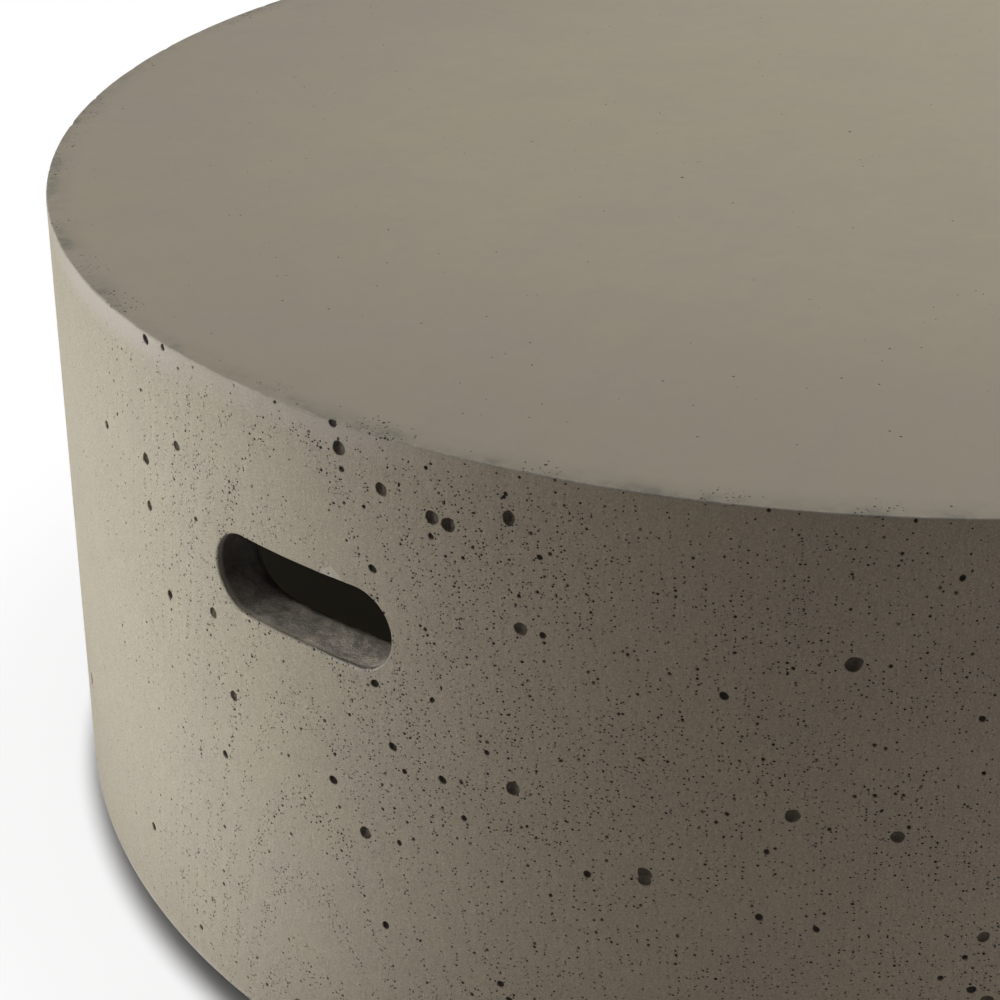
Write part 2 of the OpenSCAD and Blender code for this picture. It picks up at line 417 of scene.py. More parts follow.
def build_dust_group():
    """Group for the dust that settles on upward faces and in patches."""
    tree, taken, given = new_group("Dust", "ShaderNodeTree", ("Vector", "Amount"), ("Mask",))
    settled = facing_up(tree).remap(-0.2, 0.9) * 0.7 + 0.3
    patches = cloud(taken["Vector"], 260.0, 4.0, 0.7).remap(0.42, 0.68)
    fill(given, {"Mask": settled * patches * taken["Amount"]})


# Materials

def new_material(name):
    """Material with a Principled BSDF alone: itself, its tree and its shader."""
    made = bpy.data.materials.new(name)
    made.use_nodes = True
    tree = made.node_tree
    return made, tree, tree.nodes["Principled BSDF"]


def object_vector(tree):
    """Object coordinates."""
    return add_node(tree, "ShaderNodeTexCoord")["Object"]


def attribute(tree, name):
    """Value of one of the casting's own masks."""
    return add_node(tree, "ShaderNodeAttribute", attribute_name=name)["Fac"]


def pinhole_layers(vector, wall, rim, crowd):
    """Specks, pinholes and pinholes along flow lines: their joint mask, depth and painted highlight on
    their lower lips.
    """
    patches = cloud(vector, 11.0, 3.0, 0.6).remap(0.34, 0.62, 0.35, 1.0)
    clusters = cloud(vector, 34.0, 2.0, 0.5).remap(0.48, 0.60)
    place = maths("ADD", wall * crowd + rim * clusters * 1.6, 0.008, clamp=True)
    share = patches * place
    contour = abs(cloud(vector, 7.0, 2.0) - 0.5).remap(0.0, 0.014, 1.0, 0.0)
    flow_line = contour * cloud(vector, 3.1, 1.0).remap(0.50, 0.56)

    def layer(spacing, largest, chance):
        return use_group(
            "Pinholes", {"Vector": vector, "Spacing": spacing, "Largest": largest, "Share": chance})

    layers = (
        layer(1.40 * MM, 0.70 * MM, share * 0.80),
        layer(2.80 * MM, 1.04 * MM, share * 0.42),
        layer(1.70 * MM, 0.84 * MM, flow_line * place),
    )

    def joint(name, operation):
        first, second, third = (each[name] for each in layers)
        return maths(operation, maths(operation, first, second), third)

    return joint("Mask", "MAXIMUM"), joint("Height", "MINIMUM"), joint("Pit Glint", "MAXIMUM")


def cast_concrete(finish):
    """Outer skin: smooth from the mould, clouded, with pinholes and pale worn edges, and painted light
    and shade on the sill, the lips of pinholes and hand holes, and the wall's shaded side.
    """
    made, tree, shader = new_material("concrete_cast")
    form = CastingForm(bpy.context.scene.table_casting)
    vector = object_vector(tree)
    spot = parts_of(vector)
    tone = use_group("Clouding", {"Vector": vector})
    zones = use_group("Zones", {
        "Vector": vector, "Top Radius": form.top_r, "Top Height": form.top_z,
        "Base Radius": form.base_r, "Rim Height": form.rim_z, "Hole Height": form.hold_z,
        "Hole Reach": form.hold_reach, "Hole Radius": form.hold_r})
    wall, rim, sill = zones["Wall"], zones["Rim"], zones["Sill"]

    # Clouding and grain
    colour = blend(tone["Drift"], finish.warm, finish.concrete)
    colour = blend(tone["Blotches"] * 0.5, colour, finish.cool)
    mottle = tone["Mottle"].remap(0.25, 0.75, 0.970, 1.030, "LINEAR")
    sand = tone["Sand"].remap(0.25, 0.75, 0.960, 1.040, "LINEAR")
    colour = shaded(1.0, colour, mottle * sand)
    upright = {"Vector": vector, "Scale": (1.0, 1.0, 0.22)}
    peel = cloud(add_node(tree, "ShaderNodeMapping", upright)["Vector"], 620.0, 3.0, 0.6)
    strokes = peel.remap(0.25, 0.75, 0.940, 1.060, "LINEAR")
    grit = tone["Sand"].remap(0.25, 0.75, 0.760, 1.240, "LINEAR")
    colour = shaded(wall, colour, strokes * grit)

    # Tints of the two sides of the wall and of the top; the warm tint on the wall's -Y side is painted
    # shade, the colour of that side in shade
    sideways = spot["Y"] / form.top_r
    colour = blend(sideways.remap(0.25, -0.40) * wall, colour, finish.ochre, "MULTIPLY")
    reach = across(spot["X"], spot["Y"])
    outer = reach.remap(0.50 * form.top_r, 0.88 * form.top_r)
    plate = blend(outer, finish.inner_top, finish.outer_top)
    colour = blend(1.0 - wall, colour, plate, "MULTIPLY")

    # Stains on the top's rim, the pale band under it, worn edges, the hand holes' lips paler towards -Y
    # as painted highlight, and the fresh face of the flake
    grime = cloud(vector, 30.0, 6.0, 0.72).remap(0.40, 0.64, 0.15, 1.0)
    fine_grime = cloud(vector, 90.0, 5.0, 0.7).remap(0.40, 0.60)
    grime = (rim * 0.30 + zones["Smudge"] * fine_grime * 0.60) * grime
    colour = blend(grime, colour, finish.stain)
    brow = zones["Brow"] * cloud(vector, 6.0, 3.0, 0.6).remap(0.40, 0.58, 0.4, 1.0)
    colour = blend(brow * sideways.remap(-0.25, 0.0) * 0.60, colour, finish.bloom)
    scuffs = cloud(vector, 420.0, 5.0, 0.75).remap(0.42, 0.66)
    worn = maths("MAXIMUM", zones["Arris"], zones["Lip"])
    pale = maths("MAXIMUM", worn * (scuffs * 0.65 + 0.35), attribute(tree, "fresh") * 0.50)
    colour = blend(pale * 0.75, colour, finish.laitance)

    # Inside of the hand holes: the sill's mauve-grey, lighter on its upward faces as painted light and
    # darker towards its +Y end as painted shade
    # Painted light and shade: upward faces of the sill lighter, its +Y end darker, as light falls into
    # the hole
    settled = facing_up(tree).remap(0.35, 0.95) * spot["Y"].remap(-0.02, 0.04, 1.05, 0.20) + 0.21
    trowel = cloud(vector, 75.0, 7.0, 0.72, 0.8).remap(0.36, 0.66, 0.62, 1.20)
    colour = blend(sill * 0.9, colour, finish.sill)
    colour = shaded(sill, colour, trowel * settled)

    # Pinholes, and the shade inside the pores that are cut into the mesh
    dense_side = bpy.context.scene.table_pores.dense_side
    swirl = (spot["X"] * math.cos(dense_side) + spot["Y"] * math.sin(dense_side)) / reach
    crowd = (swirl * swirl).remap(-0.04, 0.24)
    mask, pits, pit_glint = pinhole_layers(vector, zones["Open Wall"], rim, crowd)
    whole = maths("SUBTRACT", 1.0, maths("MAXIMUM", attribute(tree, "pore"), sill), clamp=True)
    # Painted highlight on the pinholes' lower lips, in the laitance colour
    colour = blend(pit_glint * whole * wall * 0.85, colour, finish.laitance)
    colour = blend(mask * whole * 0.98, colour, finish.pinhole)
    pore = attribute(tree, "pore") * zones["Depth"].remap(0.10 * MM, 0.75 * MM)
    colour = blend(pore * 0.97, colour, finish.pore)

    # Relief
    skin = peel * (wall * 0.00022 + 0.00003) + tone["Sand"] * wall * 0.00010
    lumps = cloud(vector, 210.0, 5.0, 0.75) * ((sill + worn * 0.5) * 0.0008)
    fill(shader, {
        "Base Color": colour,
        "Roughness": tone["Mottle"] * 0.16 + 0.62,
        "Specular IOR Level": 0.2,
        "Normal": bump(skin + lumps + pits * whole),
    })
    return made


def core_concrete(finish):
    """Inside face: rougher and darker, lumpy, with coarse pits."""
    made, tree, shader = new_material("concrete_core")
    vector = object_vector(tree)
    tone = use_group("Clouding", {"Vector": vector})
    coarse = use_group(
        "Pinholes", {"Vector": vector, "Spacing": 9.0 * MM, "Largest": 1.6 * MM, "Share": 0.8})
    colour = blend(tone["Blotches"], finish.cool, finish.concrete)
    colour = shaded(1.0, colour, tone["Mottle"].remap(0.2, 0.8, 0.70, 1.05, "LINEAR"))
    lumps = cloud(vector, 140.0, 5.0, 0.7, 0.4) * 0.0022
    fill(shader, {
        "Base Color": blend(coarse["Mask"], colour, finish.pit),
        "Roughness": tone["Mottle"] * 0.15 + 0.78,
        "Specular IOR Level": 0.25,
        "Normal": bump(lumps + coarse["Height"]),
    })
    return made


def dusty_material(name, finish, colour, dust, rough, grain_scale, grain_depth, is_metal):
    """Material of a foot's piece: its own grain, under dust from the casting."""
    made, tree, shader = new_material(name)
    vector = object_vector(tree)
    mask = use_group("Dust", {"Vector": vector, "Amount": dust})["Mask"]
    grain = cloud(vector, grain_scale, 3.0, 0.6)
    base = shaded(1.0, colour, grain.remap(0.25, 0.75, 0.82, 1.15, "LINEAR"))
    fill(shader, {
        "Base Color": blend(mask, base, finish.dust),
        "Roughness": maths("ADD", grain * 0.2 + rough, mask * 0.3, clamp=True),
        "Metallic": 1.0 - mask if is_metal else 0.0,
        "Normal": bump(grain * grain_depth),
    })
    return made


def material(name):
    """One of the table's finishes, built when it is first asked for."""
    if name in bpy.data.materials:
        return bpy.data.materials[name]
    if "Pinholes" not in bpy.data.node_groups:
        build_pinhole_group()
        build_zones_group()
        build_clouding_group()
        build_dust_group()
    finish = bpy.context.scene.table_finish
    if name == "concrete_cast":
        return cast_concrete(finish)
    if name == "concrete_core":
        return core_concrete(finish)
    dusty = {
        "zinc_plate": (finish.zinc, 0.25, 0.28, 900.0, 0.02 * MM, True),
        "moulded_nylon": (finish.nylon, 0.30, 0.42, 2400.0, 0.03 * MM, False),
        "tread_rubber": (finish.rubber, 0.45, 0.66, 1700.0, 0.05 * MM, False),
    }
    return dusty_material(name, finish, *dusty[name])


def dress(mesh, *names):
    """Gives a mesh these finishes in place of its own."""
    mesh.materials.clear()
    for name in names:
        mesh.materials.append(material(name))


# Mesh work

def new_object(name, mesh):
    """Object at the origin that holds the mesh."""
    made = bpy.data.objects.new(name, mesh)
    bpy.context.scene.collection.objects.link(made)
    return made


def mesh_from(name, points, faces):
    """Mesh from points and faces, with its normals turned outward."""
    mesh = bpy.data.meshes.new(name)
    mesh.from_pydata([tuple(p) for p in points], [], faces)
    work = bmesh.new()
    work.from_mesh(mesh)
    bmesh.ops.recalc_face_normals(work, faces=work.faces)
    work.to_mesh(mesh)
    work.free()
    return mesh


def revolve(name, section, segments, nudge=None):
    """Closed solid turned from a section of (radius, height) points, with both ends on the axis."""
    rings = section[1:-1]
    points = [(0.0, 0.0, section[0][1])]
    for radius, height in rings:
        for i in range(segments):
            angle = 2 * math.pi * i / segments
            r, z = (radius, height) if nudge is None else nudge(radius, height, angle)
            points.append((r * math.cos(angle), r * math.sin(angle), z))
    points.append((0.0, 0.0, section[-1][1]))
    last = len(points) - 1
    faces = []
    for i in range(segments):
        j = (i + 1) % segments
        faces.append((0, 1 + i, 1 + j))
        for row in range(len(rings) - 1):
            a = 1 + row * segments
            faces.append((a + i, a + segments + i, a + segments + j, a + j))
        a = 1 + (len(rings) - 1) * segments
        faces.append((a + i, last, a + j))
    return mesh_from(name, points, faces)


def loft(name, rings):
    """Closed solid through rings of equal count, each end closed by a fan."""
    count = len(rings[0])
    points = [p for ring in rings for p in ring]
    points.append(sum((Vector(p) for p in rings[0]), Vector()) / count)
    points.append(sum((Vector(p) for p in rings[-1]), Vector()) / count)
    first, last = len(points) - 2, len(points) - 1
    base = (len(rings) - 1) * count
    faces = []
    for k in range(count):
        after = (k + 1) % count
        for row in range(len(rings) - 1):
            a = row * count
            faces.append((a + k, a + after, a + count + after, a + count + k))
        faces.append((k, first, after))
        faces.append((base + k, base + after, last))
    return mesh_from(name, points, faces)


def round_corner(before, corner, after, radius, steps):
    """Points of the arc that rounds a corner of a section."""
    before, corner, after = Vector(before), Vector(corner), Vector(after)
    u = (before - corner).normalized()
    v = (after - corner).normalized()
    half = u.angle(v) / 2
    centre = corner + (u + v).normalized() * radius / math.sin(half)
    start = corner + u * radius / math.tan(half) - centre
    end = corner + v * radius / math.tan(half) - centre
    turn = math.copysign(math.pi - 2 * half, start.x * end.y - start.y * end.x)
    base = math.atan2(start.y, start.x)
    angles = [base + turn * i / steps for i in range(steps + 1)]
    return [(centre.x + radius * math.cos(a), centre.y + radius * math.sin(a)) for a in angles]


def wall_points(start_z, end_z, radius_at):
    """Section points along a wall between two heights, without its ends."""
    heights = [start_z + (end_z - start_z) * i / WALL_ROWS for i in range(1, WALL_ROWS)]
    return [(radius_at(z), z) for z in heights]


def carve(obj, cutters):
    """Cuts other objects out of an object, and uses them up."""
    for cutter in cutters:
        step = obj.modifiers.new("carve", "BOOLEAN")
        step.operation = "DIFFERENCE"
        step.solver = "MANIFOLD"
        step.object = cutter
    apply_modifiers(obj)
    for cutter in cutters:
        bpy.data.objects.remove(cutter)


def apply_modifiers(obj):
    """Puts the evaluated mesh in place of the object's own, and takes its modifiers off."""
    bpy.context.view_layer.update()
    evaluated = obj.evaluated_get(bpy.context.evaluated_depsgraph_get())
    mesh = bpy.data.meshes.new_from_object(evaluated)
    obj.modifiers.clear()
    obj.data = mesh


def run_tree(obj, tree, values):
    """Runs a Geometry Nodes tree on an object, with inputs found by name, and keeps the result."""
    step = obj.modifiers.new(tree.name, "NODES")
    step.node_group = tree
    for item in tree.interface.items_tree:
        if item.in_out == "INPUT" and item.name in values:
            step[item.identifier] = values[item.name]
    apply_modifiers(obj)


def smooth(obj, angle):
    """Smooth shading that breaks at edges sharper than the angle."""
    obj.data.shade_smooth()
    obj.data.set_sharp_from_angle(angle=math.radians(angle))


# The casting

class CastingForm:
    """Heights and radii of the casting, from the frame and the settings."""

    def __init__(self, settings):
        low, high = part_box("drum")
        self.settings = settings
        self.rim_z = low[2]
        self.top_z = high[2]
        self.base_r = high[0]
        self.top_r = settings.top_radius
        self.under_z = self.top_z - settings.slab
        self.hold_z = self.top_z - settings.hold_drop
        self.hold_r = settings.hold_height / 2
        self.hold_reach = (settings.hold_width - settings.hold_height) / 2
        self.wall_slope = (self.base_r - self.top_r) / (self.top_z - self.rim_z)
        self.foot_r = node_middle("insert_1").length

    def outer_r(self, z):
        """Outer radius of the wall at a height."""
        return self.top_r + (self.top_z - z) * self.wall_slope

    def inner_r(self, z):
        """Inner radius of the wall at a height."""
        core = self.base_r - self.settings.wall
        return core - (z - self.rim_z) * math.tan(self.settings.core_draft)


def node_middle(name):
    """Middle of a node's box on the floor plan."""
    low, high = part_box(name)
    return Vector(((low[0] + high[0]) / 2, (low[1] + high[1]) / 2, 0.0))


def edge_chips(form):
    """Function that draws the top's edge inward, a little all round and more in a few chips."""
    settings = form.settings
    reach = 2.0 * settings.top_edge
    centre = (form.top_r - settings.top_edge, form.top_z - settings.top_edge)

    def nudge(radius, height, angle):
        away = Vector((radius - centre[0], height - centre[1]))
        near = 1.0 - math.hypot(radius - centre[0], height - centre[1]) / reach
        if near <= 0.0 or away.length < 1e-6:
            return radius, height
        place = Vector((math.cos(angle), math.sin(angle), 0.0)) * form.top_r
        wave = abs(noise.noise(place * 60.0 + Vector((0, 0, height * 150.0))))
        grit = abs(noise.noise(place * 260.0 + Vector((3, 0, height * 300.0))))
        chip = max(0.0, noise.noise(place * 130.0 + Vector((9, 5, 0))) - 0.40) / 0.3
        depth = settings.chip_depth * min(1.0, 0.16 * wave + 0.12 * grit + chip)
        weight = min(1.0, near * 2.2)
        away.normalize()
        return radius - away.x * depth * weight, height - max(0.0, away.y) * depth * weight

    return nudge


def outer_mesh(form):
    """Outer form of the casting, solid."""
    settings = form.settings
    axis_top = (0.0, form.top_z)
    edge = (form.top_r, form.top_z)
    foot = (form.base_r, form.rim_z)
    axis_foot = (0.0, form.rim_z)
    shoulder = round_corner(axis_top, edge, foot, settings.top_edge, 6)
    heel = round_corner(edge, foot, axis_foot, settings.rim_edge, 4)
    flat = [(form.top_r * share, form.top_z) for share in (0.5, 0.97)]
    wall = wall_points(shoulder[-1][1], heel[0][1], form.outer_r)
    section = [axis_top] + flat + shoulder + wall + heel + [axis_foot]
    return revolve("outer", section, OUTER_SEGMENTS, edge_chips(form))


def core_mesh(form):
    """Space inside the casting, before the ribs."""
    rim_edge = form.settings.rim_edge
    below = form.rim_z - 0.01
    axis_under = (0.0, form.under_z)
    corner = (form.inner_r(form.under_z), form.under_z)
    mouth = (form.inner_r(form.rim_z), form.rim_z)
    flare = mouth[0] + rim_edge
    upper = round_corner(axis_under, corner, mouth, form.settings.core_corner, 10)
    lip = [
        (flare - rim_edge * math.cos(math.radians(a)),
         form.rim_z + rim_edge - rim_edge * math.sin(math.radians(a)))
        for a in range(0, 91, 18)
    ]
    wall = wall_points(upper[-1][1], lip[0][1], form.inner_r)
    calm_z = form.rim_z + 0.02
    calm_r = 0.1
    wall_wave = 0.0007
    slab_wave = 0.0004

    def waves(radius, height, angle):
        if height < calm_z or radius < calm_r:
            return radius, height
        place = Vector((radius * math.cos(angle), radius * math.sin(angle), height))
        outward = wall_wave * noise.noise(place * 14.0)
        upward = slab_wave * noise.noise(place * 9.0)
        return radius + outward, height + upward

    section = [axis_under, (0.2, form.under_z)] + upper + wall + lip + [(flare, below), (0.0, below)]
    return revolve("core", section, CORE_SEGMENTS, waves)


def rib_mesh(form, foot):
    """Upright rib inside the wall, round nose inward, flared where it meets the wall."""
    settings = form.settings
    turn = Matrix.Rotation(math.radians(90 * foot - 45), 4, "Z")
    depth = form.base_r - form.foot_r
    below_rim = 0.004
    into_slab = 0.012
    rings = []
    for step in range(7):
        z = form.rim_z - below_rim + (form.under_z + into_slab - form.rim_z) * (step / 6)
        radius = settings.rib_radius + (z - form.rim_z) * math.tan(settings.rib_draft)
        nose = []
        for i in range(25):
            angle = math.radians(90 + 180 * i / 24)
            nose.append((form.foot_r + radius * math.cos(angle), radius * math.sin(angle)))
        shares = [i / 8 for i in range(1, 9)]
        flank = [(form.foot_r + depth * t, radius + settings.rib_flare * t ** 3) for t in shares]
        outline = flank[::-1] + nose + [(x, -y) for x, y in flank]
        rings.append([turn @ Vector((x, y, z)) for x, y in outline])
    return loft("rib", rings)


def hold_outline(form, steps):
    """Obround outline as (place, outward direction) pairs, in y and z round its middle."""
    radius, reach = form.hold_r, form.hold_reach
    straight = steps * 4 // 5
    found = []
    for side in (1, -1):
        for i in range(steps + 1):
            angle = math.radians(-90 + 180 * i / steps) + (0 if side > 0 else math.pi)
            out = Vector((math.cos(angle), math.sin(angle)))
            found.append((Vector((side * reach, 0.0)) + out * radius, out))
        for i in range(1, straight):
            y = side * reach * (1 - 2 * i / straight)
            found.append((Vector((y, side * radius)), Vector((0.0, side))))
    return found


def hold_mesh(form, side):
    """Cutter of one hand hole: rolled lips on both faces, and a lumpy, hand-worked inside."""
    settings = form.settings
    inner = settings.inner_lip
    last = math.radians(75)
    rolls = [last * i / 8 for i in range(9)]
    beyond = 0.006

    def stations(face_outer, face_inner, lip):
        """Pairs of depth and growth of the outline, from outside the wall to inside it."""
        found = [(face_outer + beyond, lip * (1 - math.cos(last)) + beyond * math.sin(last))]
        for a in reversed(rolls):
            found.append((face_outer - lip * (1 - math.sin(a)), lip * (1 - math.cos(a))))
        start, end = face_outer - lip, face_inner + inner
        for i in range(1, 14):
            found.append((start + (end - start) * i / 14, 0.0))
        for a in rolls:
            found.append((face_inner + inner * (1 - math.sin(a)), inner * (1 - math.cos(a))))
        found.append((face_inner - beyond, inner * (1 - math.cos(last)) + beyond * math.sin(last)))
        return found

    def lump_at(spot, inside, out):
        """Height of the lumps at a place inside the hand hole, most at its foot."""
        low = 0.45 + 0.55 * (0.5 - 0.5 * out.y)
        lumps = noise.noise(spot * 75.0) + 0.5 * noise.noise(spot * 190.0)
        crumbs = noise.noise(spot * 420.0)
        return settings.sill_roughness * (lumps * inside * low + 0.22 * crumbs * min(1.0, inside + 0.4))

    columns = []
    for place, out in hold_outline(form, 32):
        share = 0.5 - 0.5 * out.y
        share = share * share * (3 - 2 * share)
        lip = settings.upper_lip + (settings.lower_lip - settings.upper_lip) * share
        z = form.hold_z + place.y
        face_outer = math.sqrt(form.outer_r(z) ** 2 - place.x ** 2)
        face_inner = math.sqrt(form.inner_r(z) ** 2 - place.x ** 2)
        column = []
        for x, grow in stations(face_outer, face_inner, lip):
            at = place + out * grow
            spot = Vector((x * side, at.x, form.hold_z + at.y))
            inside = min(1.0, max(0.0, (face_outer - x) / 0.006))
            shift = lump_at(spot, inside, out) if face_inner <= x <= face_outer else 0.0
            column.append((x * side, at.x + out.x * shift, form.hold_z + at.y + out.y * shift))
        columns.append(column)
    return loft("hold", list(zip(*columns)))


def flake_mesh(form, side):
    """Cutter of the flake that has come off above a hand hole."""
    settings = form.settings
    near = settings.flake_place - settings.flake_width / 2
    far = settings.flake_place + settings.flake_width / 2
    apex = near + 0.55 * settings.flake_width
    foot = form.hold_r - 1.0 * MM
    corners = (
        (near, foot, 0.15 * settings.flake_depth),
        (apex, form.hold_r + settings.flake_height, 0.2 * settings.flake_depth),
        (far, foot, settings.flake_depth),
    )
    points = []
    for proud in (3.0 * MM, 0.0):
        for y, rise, depth in corners:
            z = form.hold_z + rise
            x = math.sqrt(form.outer_r(z) ** 2 - y * y) + (proud if proud else -depth)
            points.append((x * side, y * side, z))
    faces = [(0, 1, 2), (5, 4, 3)] + [(i, (i + 1) % 3, (i + 1) % 3 + 3, i + 3) for i in range(3)]
    return mesh_from("flake", points, faces)


def socket_mesh(foot):
    """Space that an insert fills: its flange, and its body up to the tip."""
    low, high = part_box(f"insert_{foot}")
    body_r = 0.007
    flange_r = (high[0] - low[0]) / 2
    shoulder_z = high[2] - 0.003
    foot_z = low[2] - 0.005
    section = [
        (0.0, high[2]), (flange_r, high[2]), (flange_r, shoulder_z), (body_r, shoulder_z),
        (body_r, foot_z), (0.0, foot_z)]
    mesh = revolve("socket", section, SOCKET_SEGMENTS)
    mesh.transform(Matrix.Translation(node_middle(f"insert_{foot}")))
    return mesh


def join(tree, pieces):
    """Several geometries as one."""
    return add_node(tree, "GeometryNodeJoinGeometry", {0: pieces})[0]


def finish_tree(tree, mesh, taken, given):
    """Ends a Geometry Nodes tree with real geometry in its material."""
    whole = add_node(tree, "GeometryNodeRealizeInstances", {"Geometry": mesh})[0]
    inputs = {"Geometry": whole, "Material": taken["Material"]}
    fill(given, {"Geometry": add_node(tree, "GeometryNodeSetMaterial", inputs)[0]})
    return tree


def pore_tree():
    """Geometry Nodes tree that cuts three sizes of bubble into the faces that a mask marks."""
    tree, taken, given = new_group(
        "Mould pores", "GeometryNodeTree",
        ("Geometry", "Large", "Medium", "Small", "Seed", "Material"), ("Geometry",))
    place = add_node(tree, "GeometryNodeInputPosition")[0]

    def random_value(low, high, offset):
        inputs = {2: low, 3: high, "Seed": taken["Seed"] + offset}
        return add_node(tree, "FunctionNodeRandomValue", inputs, data_type="FLOAT")[1]

    def bubble(detail, lumpiness, darkness, offset):
        ball = add_node(
            tree, "GeometryNodeMeshIcoSphere", {"Radius": 1.0, "Subdivisions": detail})["Mesh"]
        swell = cloud(vector_maths("ADD", place, (offset, 0.0, 0.0)), 1.1, 1.0) - 0.5
        push = scaled(place, swell * lumpiness)
        shaped = add_node(tree, "GeometryNodeSetPosition", {"Geometry": ball, "Offset": push})[0]
        marked = add_node(
            tree, "GeometryNodeStoreNamedAttribute",
            {"Geometry": shaped, "Name": "pore", "Value": darkness}, data_type="FLOAT", domain="FACE")[0]
        return add_node(tree, "GeometryNodeGeometryToInstance", {0: marked})[0]

    def scatter(density, detail, lumpiness, smallest, largest, skew, stretch, darkness, offset):
        mask = add_node(
            tree, "GeometryNodeInputNamedAttribute", {"Name": "pore_rate"}, data_type="FLOAT")[0]
        share = cloud(place, 11.0, 3.0, 0.6).remap(0.36, 0.62, 0.15, 1.7)
        points = add_node(
            tree, "GeometryNodeDistributePointsOnFaces",
            {"Mesh": taken["Geometry"], "Density": mask * share * density,
             "Seed": taken["Seed"] + offset}, distribute_method="RANDOM")
        shapes = [bubble(detail, lumpiness, darkness, 7.0 * i + offset) for i in range(3)]
        size = maths("POWER", random_value(0.0, 1.0, offset + 1), skew)
        size = maths("MULTIPLY_ADD", size, largest - smallest, smallest)
        long = size * random_value(1.0, stretch, offset + 2)
        deep = size * random_value(0.75, 1.1, offset + 3)
        spin = vector_of(
            tree, random_value(-0.35, 0.35, offset + 4), random_value(-0.35, 0.35, offset + 5),
            random_value(0.0, 2 * math.pi, offset + 6))
        turned = add_node(
            tree, "FunctionNodeRotateRotation", {"Rotation": points["Rotation"], "Rotate By": spin},
            rotation_space="LOCAL")[0]
        pick = add_node(
            tree, "FunctionNodeRandomValue", {4: 0, 5: 2, "Seed": taken["Seed"] + (offset + 7)},
            data_type="INT")[2]
        placed = add_node(
            tree, "GeometryNodeInstanceOnPoints",
            {"Points": points["Points"], "Instance": join(tree, shapes), "Pick Instance": True,
             "Instance Index": pick, "Rotation": turned, "Scale": vector_of(tree, long, size, deep)})[0]
        sunk = deep * random_value(-0.3, -0.1, offset + 8)
        return add_node(
            tree, "GeometryNodeTranslateInstances",
            {"Instances": placed, "Translation": vector_of(tree, z=sunk), "Local Space": True})[0]

    bubbles = join(tree, [
        scatter(taken["Large"], 3, 0.40, 2.1 * MM, 3.1 * MM, 1.0, 1.25, 0.70, 10),
        scatter(taken["Medium"], 2, 0.35, 1.2 * MM, 2.1 * MM, 2.0, 1.30, 1.0, 30),
        scatter(taken["Small"], 1, 0.25, 0.66 * MM, 1.05 * MM, 1.5, 1.2, 1.0, 50),
    ])
    cut = add_node(
        tree, "GeometryNodeMeshBoolean", {"Mesh 1": taken["Geometry"], "Mesh 2": bubbles},
        operation="DIFFERENCE", solver="MANIFOLD")["Mesh"]
    return finish_tree(tree, cut, taken, given)


def pore_rate(form, face):
    """Share of the pores that a face takes, most on the two dense sides of the wall."""
    pores = bpy.context.scene.table_pores
    centre = face.center
    radius = math.hypot(centre.x, centre.y)
    if abs(face.normal.z) < 0.5 and form.outer_r(centre.z) - radius < 6.0 * MM:
        swirl = math.cos(math.atan2(centre.y, centre.x) - pores.dense_side) ** 2
        crowd = min(1.0, (swirl + 0.02) / 0.32)
        crowd = crowd * crowd * (3 - 2 * crowd)
        rate = pores.sparse + (pores.dense - pores.sparse) * crowd
        return rate * 0.35 if form.top_z - centre.z < 12.0 * MM else rate
    return 0.08 if radius > 0.3 and centre.z < form.top_z - 5.0 * MM else 0.0


def is_fresh(form, face):
    """Whether a face is the fresh face of the flake."""
    settings = form.settings
    centre = face.center
    behind = form.outer_r(centre.z) - math.hypot(centre.x, centre.y)
    rise = centre.z - form.hold_z - form.hold_r
    beside = abs(centre.y + settings.flake_place)
    near = centre.x < 0.0 and beside < settings.flake_width / 2
    return near and 0.05 * MM < behind < 1.0 * MM and 0.3 * MM < rise < settings.flake_height


def mark_faces(form, mesh):
    """Marks how many pores each face takes, and the fresh face of the flake."""
    masks = {
        "pore_rate": [pore_rate(form, face) for face in mesh.polygons],
        "fresh": [float(is_fresh(form, face)) for face in mesh.polygons],
    }
    for name, values in masks.items():
        mesh.attributes.new(name, "FLOAT", "FACE").data.foreach_set("value", values)


def assign_core_faces(form, mesh):
    """Gives the faces inside the drum the rough concrete's slot."""
    for face in mesh.polygons:
        centre = face.center
        radius = math.hypot(centre.x, centre.y)
        inside = radius < form.inner_r(centre.z) + 0.004 and centre.z < form.under_z + 0.002
        face.material_index = 1 if inside else 0


class TABLE_OT_casting(bpy.types.Operator):
    """Casts the drum, with its ribs, hand holes and pores"""
    bl_idname = "table.casting"
    bl_label = "Casting"

    def execute(self, context):
        form = CastingForm(context.scene.table_casting)
        core = new_object("core", core_mesh(form))
        carve(core, [new_object("rib", rib_mesh(form, foot)) for foot in FEET])
        drum = new_object("concrete_drum", outer_mesh(form))
        cutters = [core]
        cutters += [new_object("hold", hold_mesh(form, side)) for side in (1, -1)]
        cutters.append(new_object("flake", flake_mesh(form, -1)))
        cutters += [new_object("socket", socket_mesh(foot)) for foot in FEET]
        carve(drum, cutters)
        mark_faces(form, drum.data)
        pores = context.scene.table_pores
        counts = {name.title(): getattr(pores, name) for name in ("large", "medium", "small", "seed")}
        run_tree(drum, pore_tree(), {**counts, "Material": material("concrete_cast")})
        dress(drum.data, "concrete_cast", "concrete_core")
        assign_core_faces(form, drum.data)
        smooth(drum, 35)
        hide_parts("drum")
        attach(drum, "table")
        return {"FINISHED"}


# The feet

